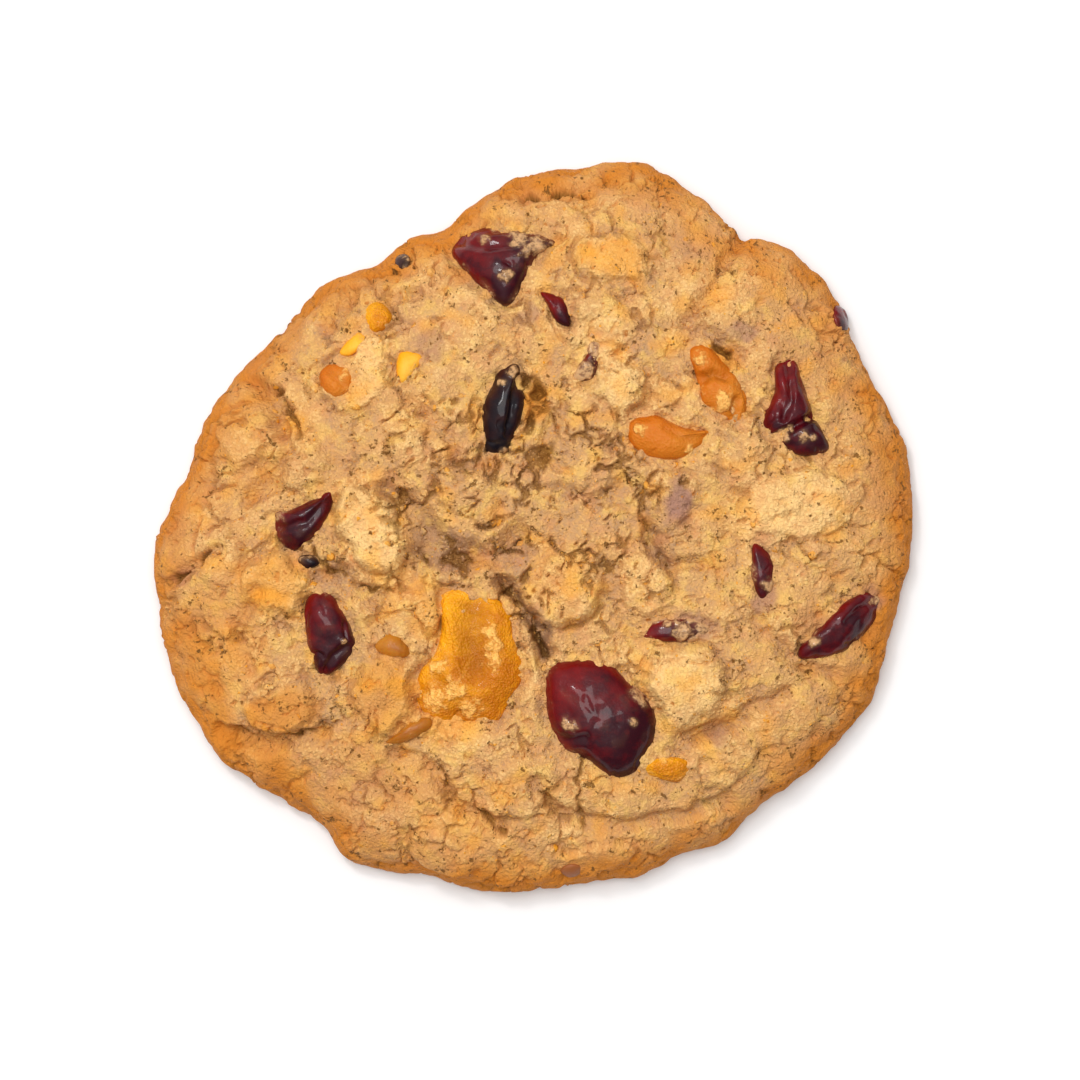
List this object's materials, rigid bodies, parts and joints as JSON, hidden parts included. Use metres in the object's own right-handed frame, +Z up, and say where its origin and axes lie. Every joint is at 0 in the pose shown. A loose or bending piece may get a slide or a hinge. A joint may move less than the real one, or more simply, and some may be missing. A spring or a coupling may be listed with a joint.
{
  "type": "breakfast cookie",
  "caption": "Craggy round oat breakfast cookie with a flat underside, dried cranberries, raisins, apricot pieces, peel and nuts bedded in its top.",
  "frame": {"origin": "middle of the flat baked underside, at the bottom centre of the bounding box", "axes": "+X to the right and +Y to the top as the picture shows the cookie from above; +Z up through the crumb"},
  "size_m": [0.0878, 0.0845, 0.0134],
  "materials": {
    "dough": "dry, crumbly baked oat dough",
    "cranberry": "sticky, wrinkled dark red dried fruit",
    "raisin": "sticky, wrinkled near-black dried fruit",
    "apricot": "translucent orange dried fruit dusted with flour",
    "peel": "soft yellow candied peel",
    "nut": "smooth toasted nut",
    "golden_raisin": "translucent amber dried fruit",
    "seed": "toasted brown"
  },
  "bodies": {
    "root": {"dough": "dough", "cranberry_large": "cranberry", "cranberry_upper": "cranberry", "cranberry_left": "cranberry", "cranberry_lower": "cranberry", "cranberry_right": "cranberry", "cranberry_long": "cranberry", "cranberry_sliver": "cranberry", "cranberry_dusted": "cranberry", "cranberry_curl": "cranberry", "cranberry_skin": "cranberry", "cranberry_rim": "cranberry", "raisin_dark": "raisin", "raisin_rim": "raisin", "raisin_hidden": "raisin", "apricot_large": "apricot", "apricot_bit": "apricot", "peach_cube": "apricot", "peel_upper": "peel", "peel_right": "peel", "nut_crescent": "nut", "nut_upper": "nut", "nut_round": "nut", "golden_raisin_upper": "golden_raisin", "golden_raisin_lower": "golden_raisin", "seed_brown": "seed"}
  },
  "joints": []
}
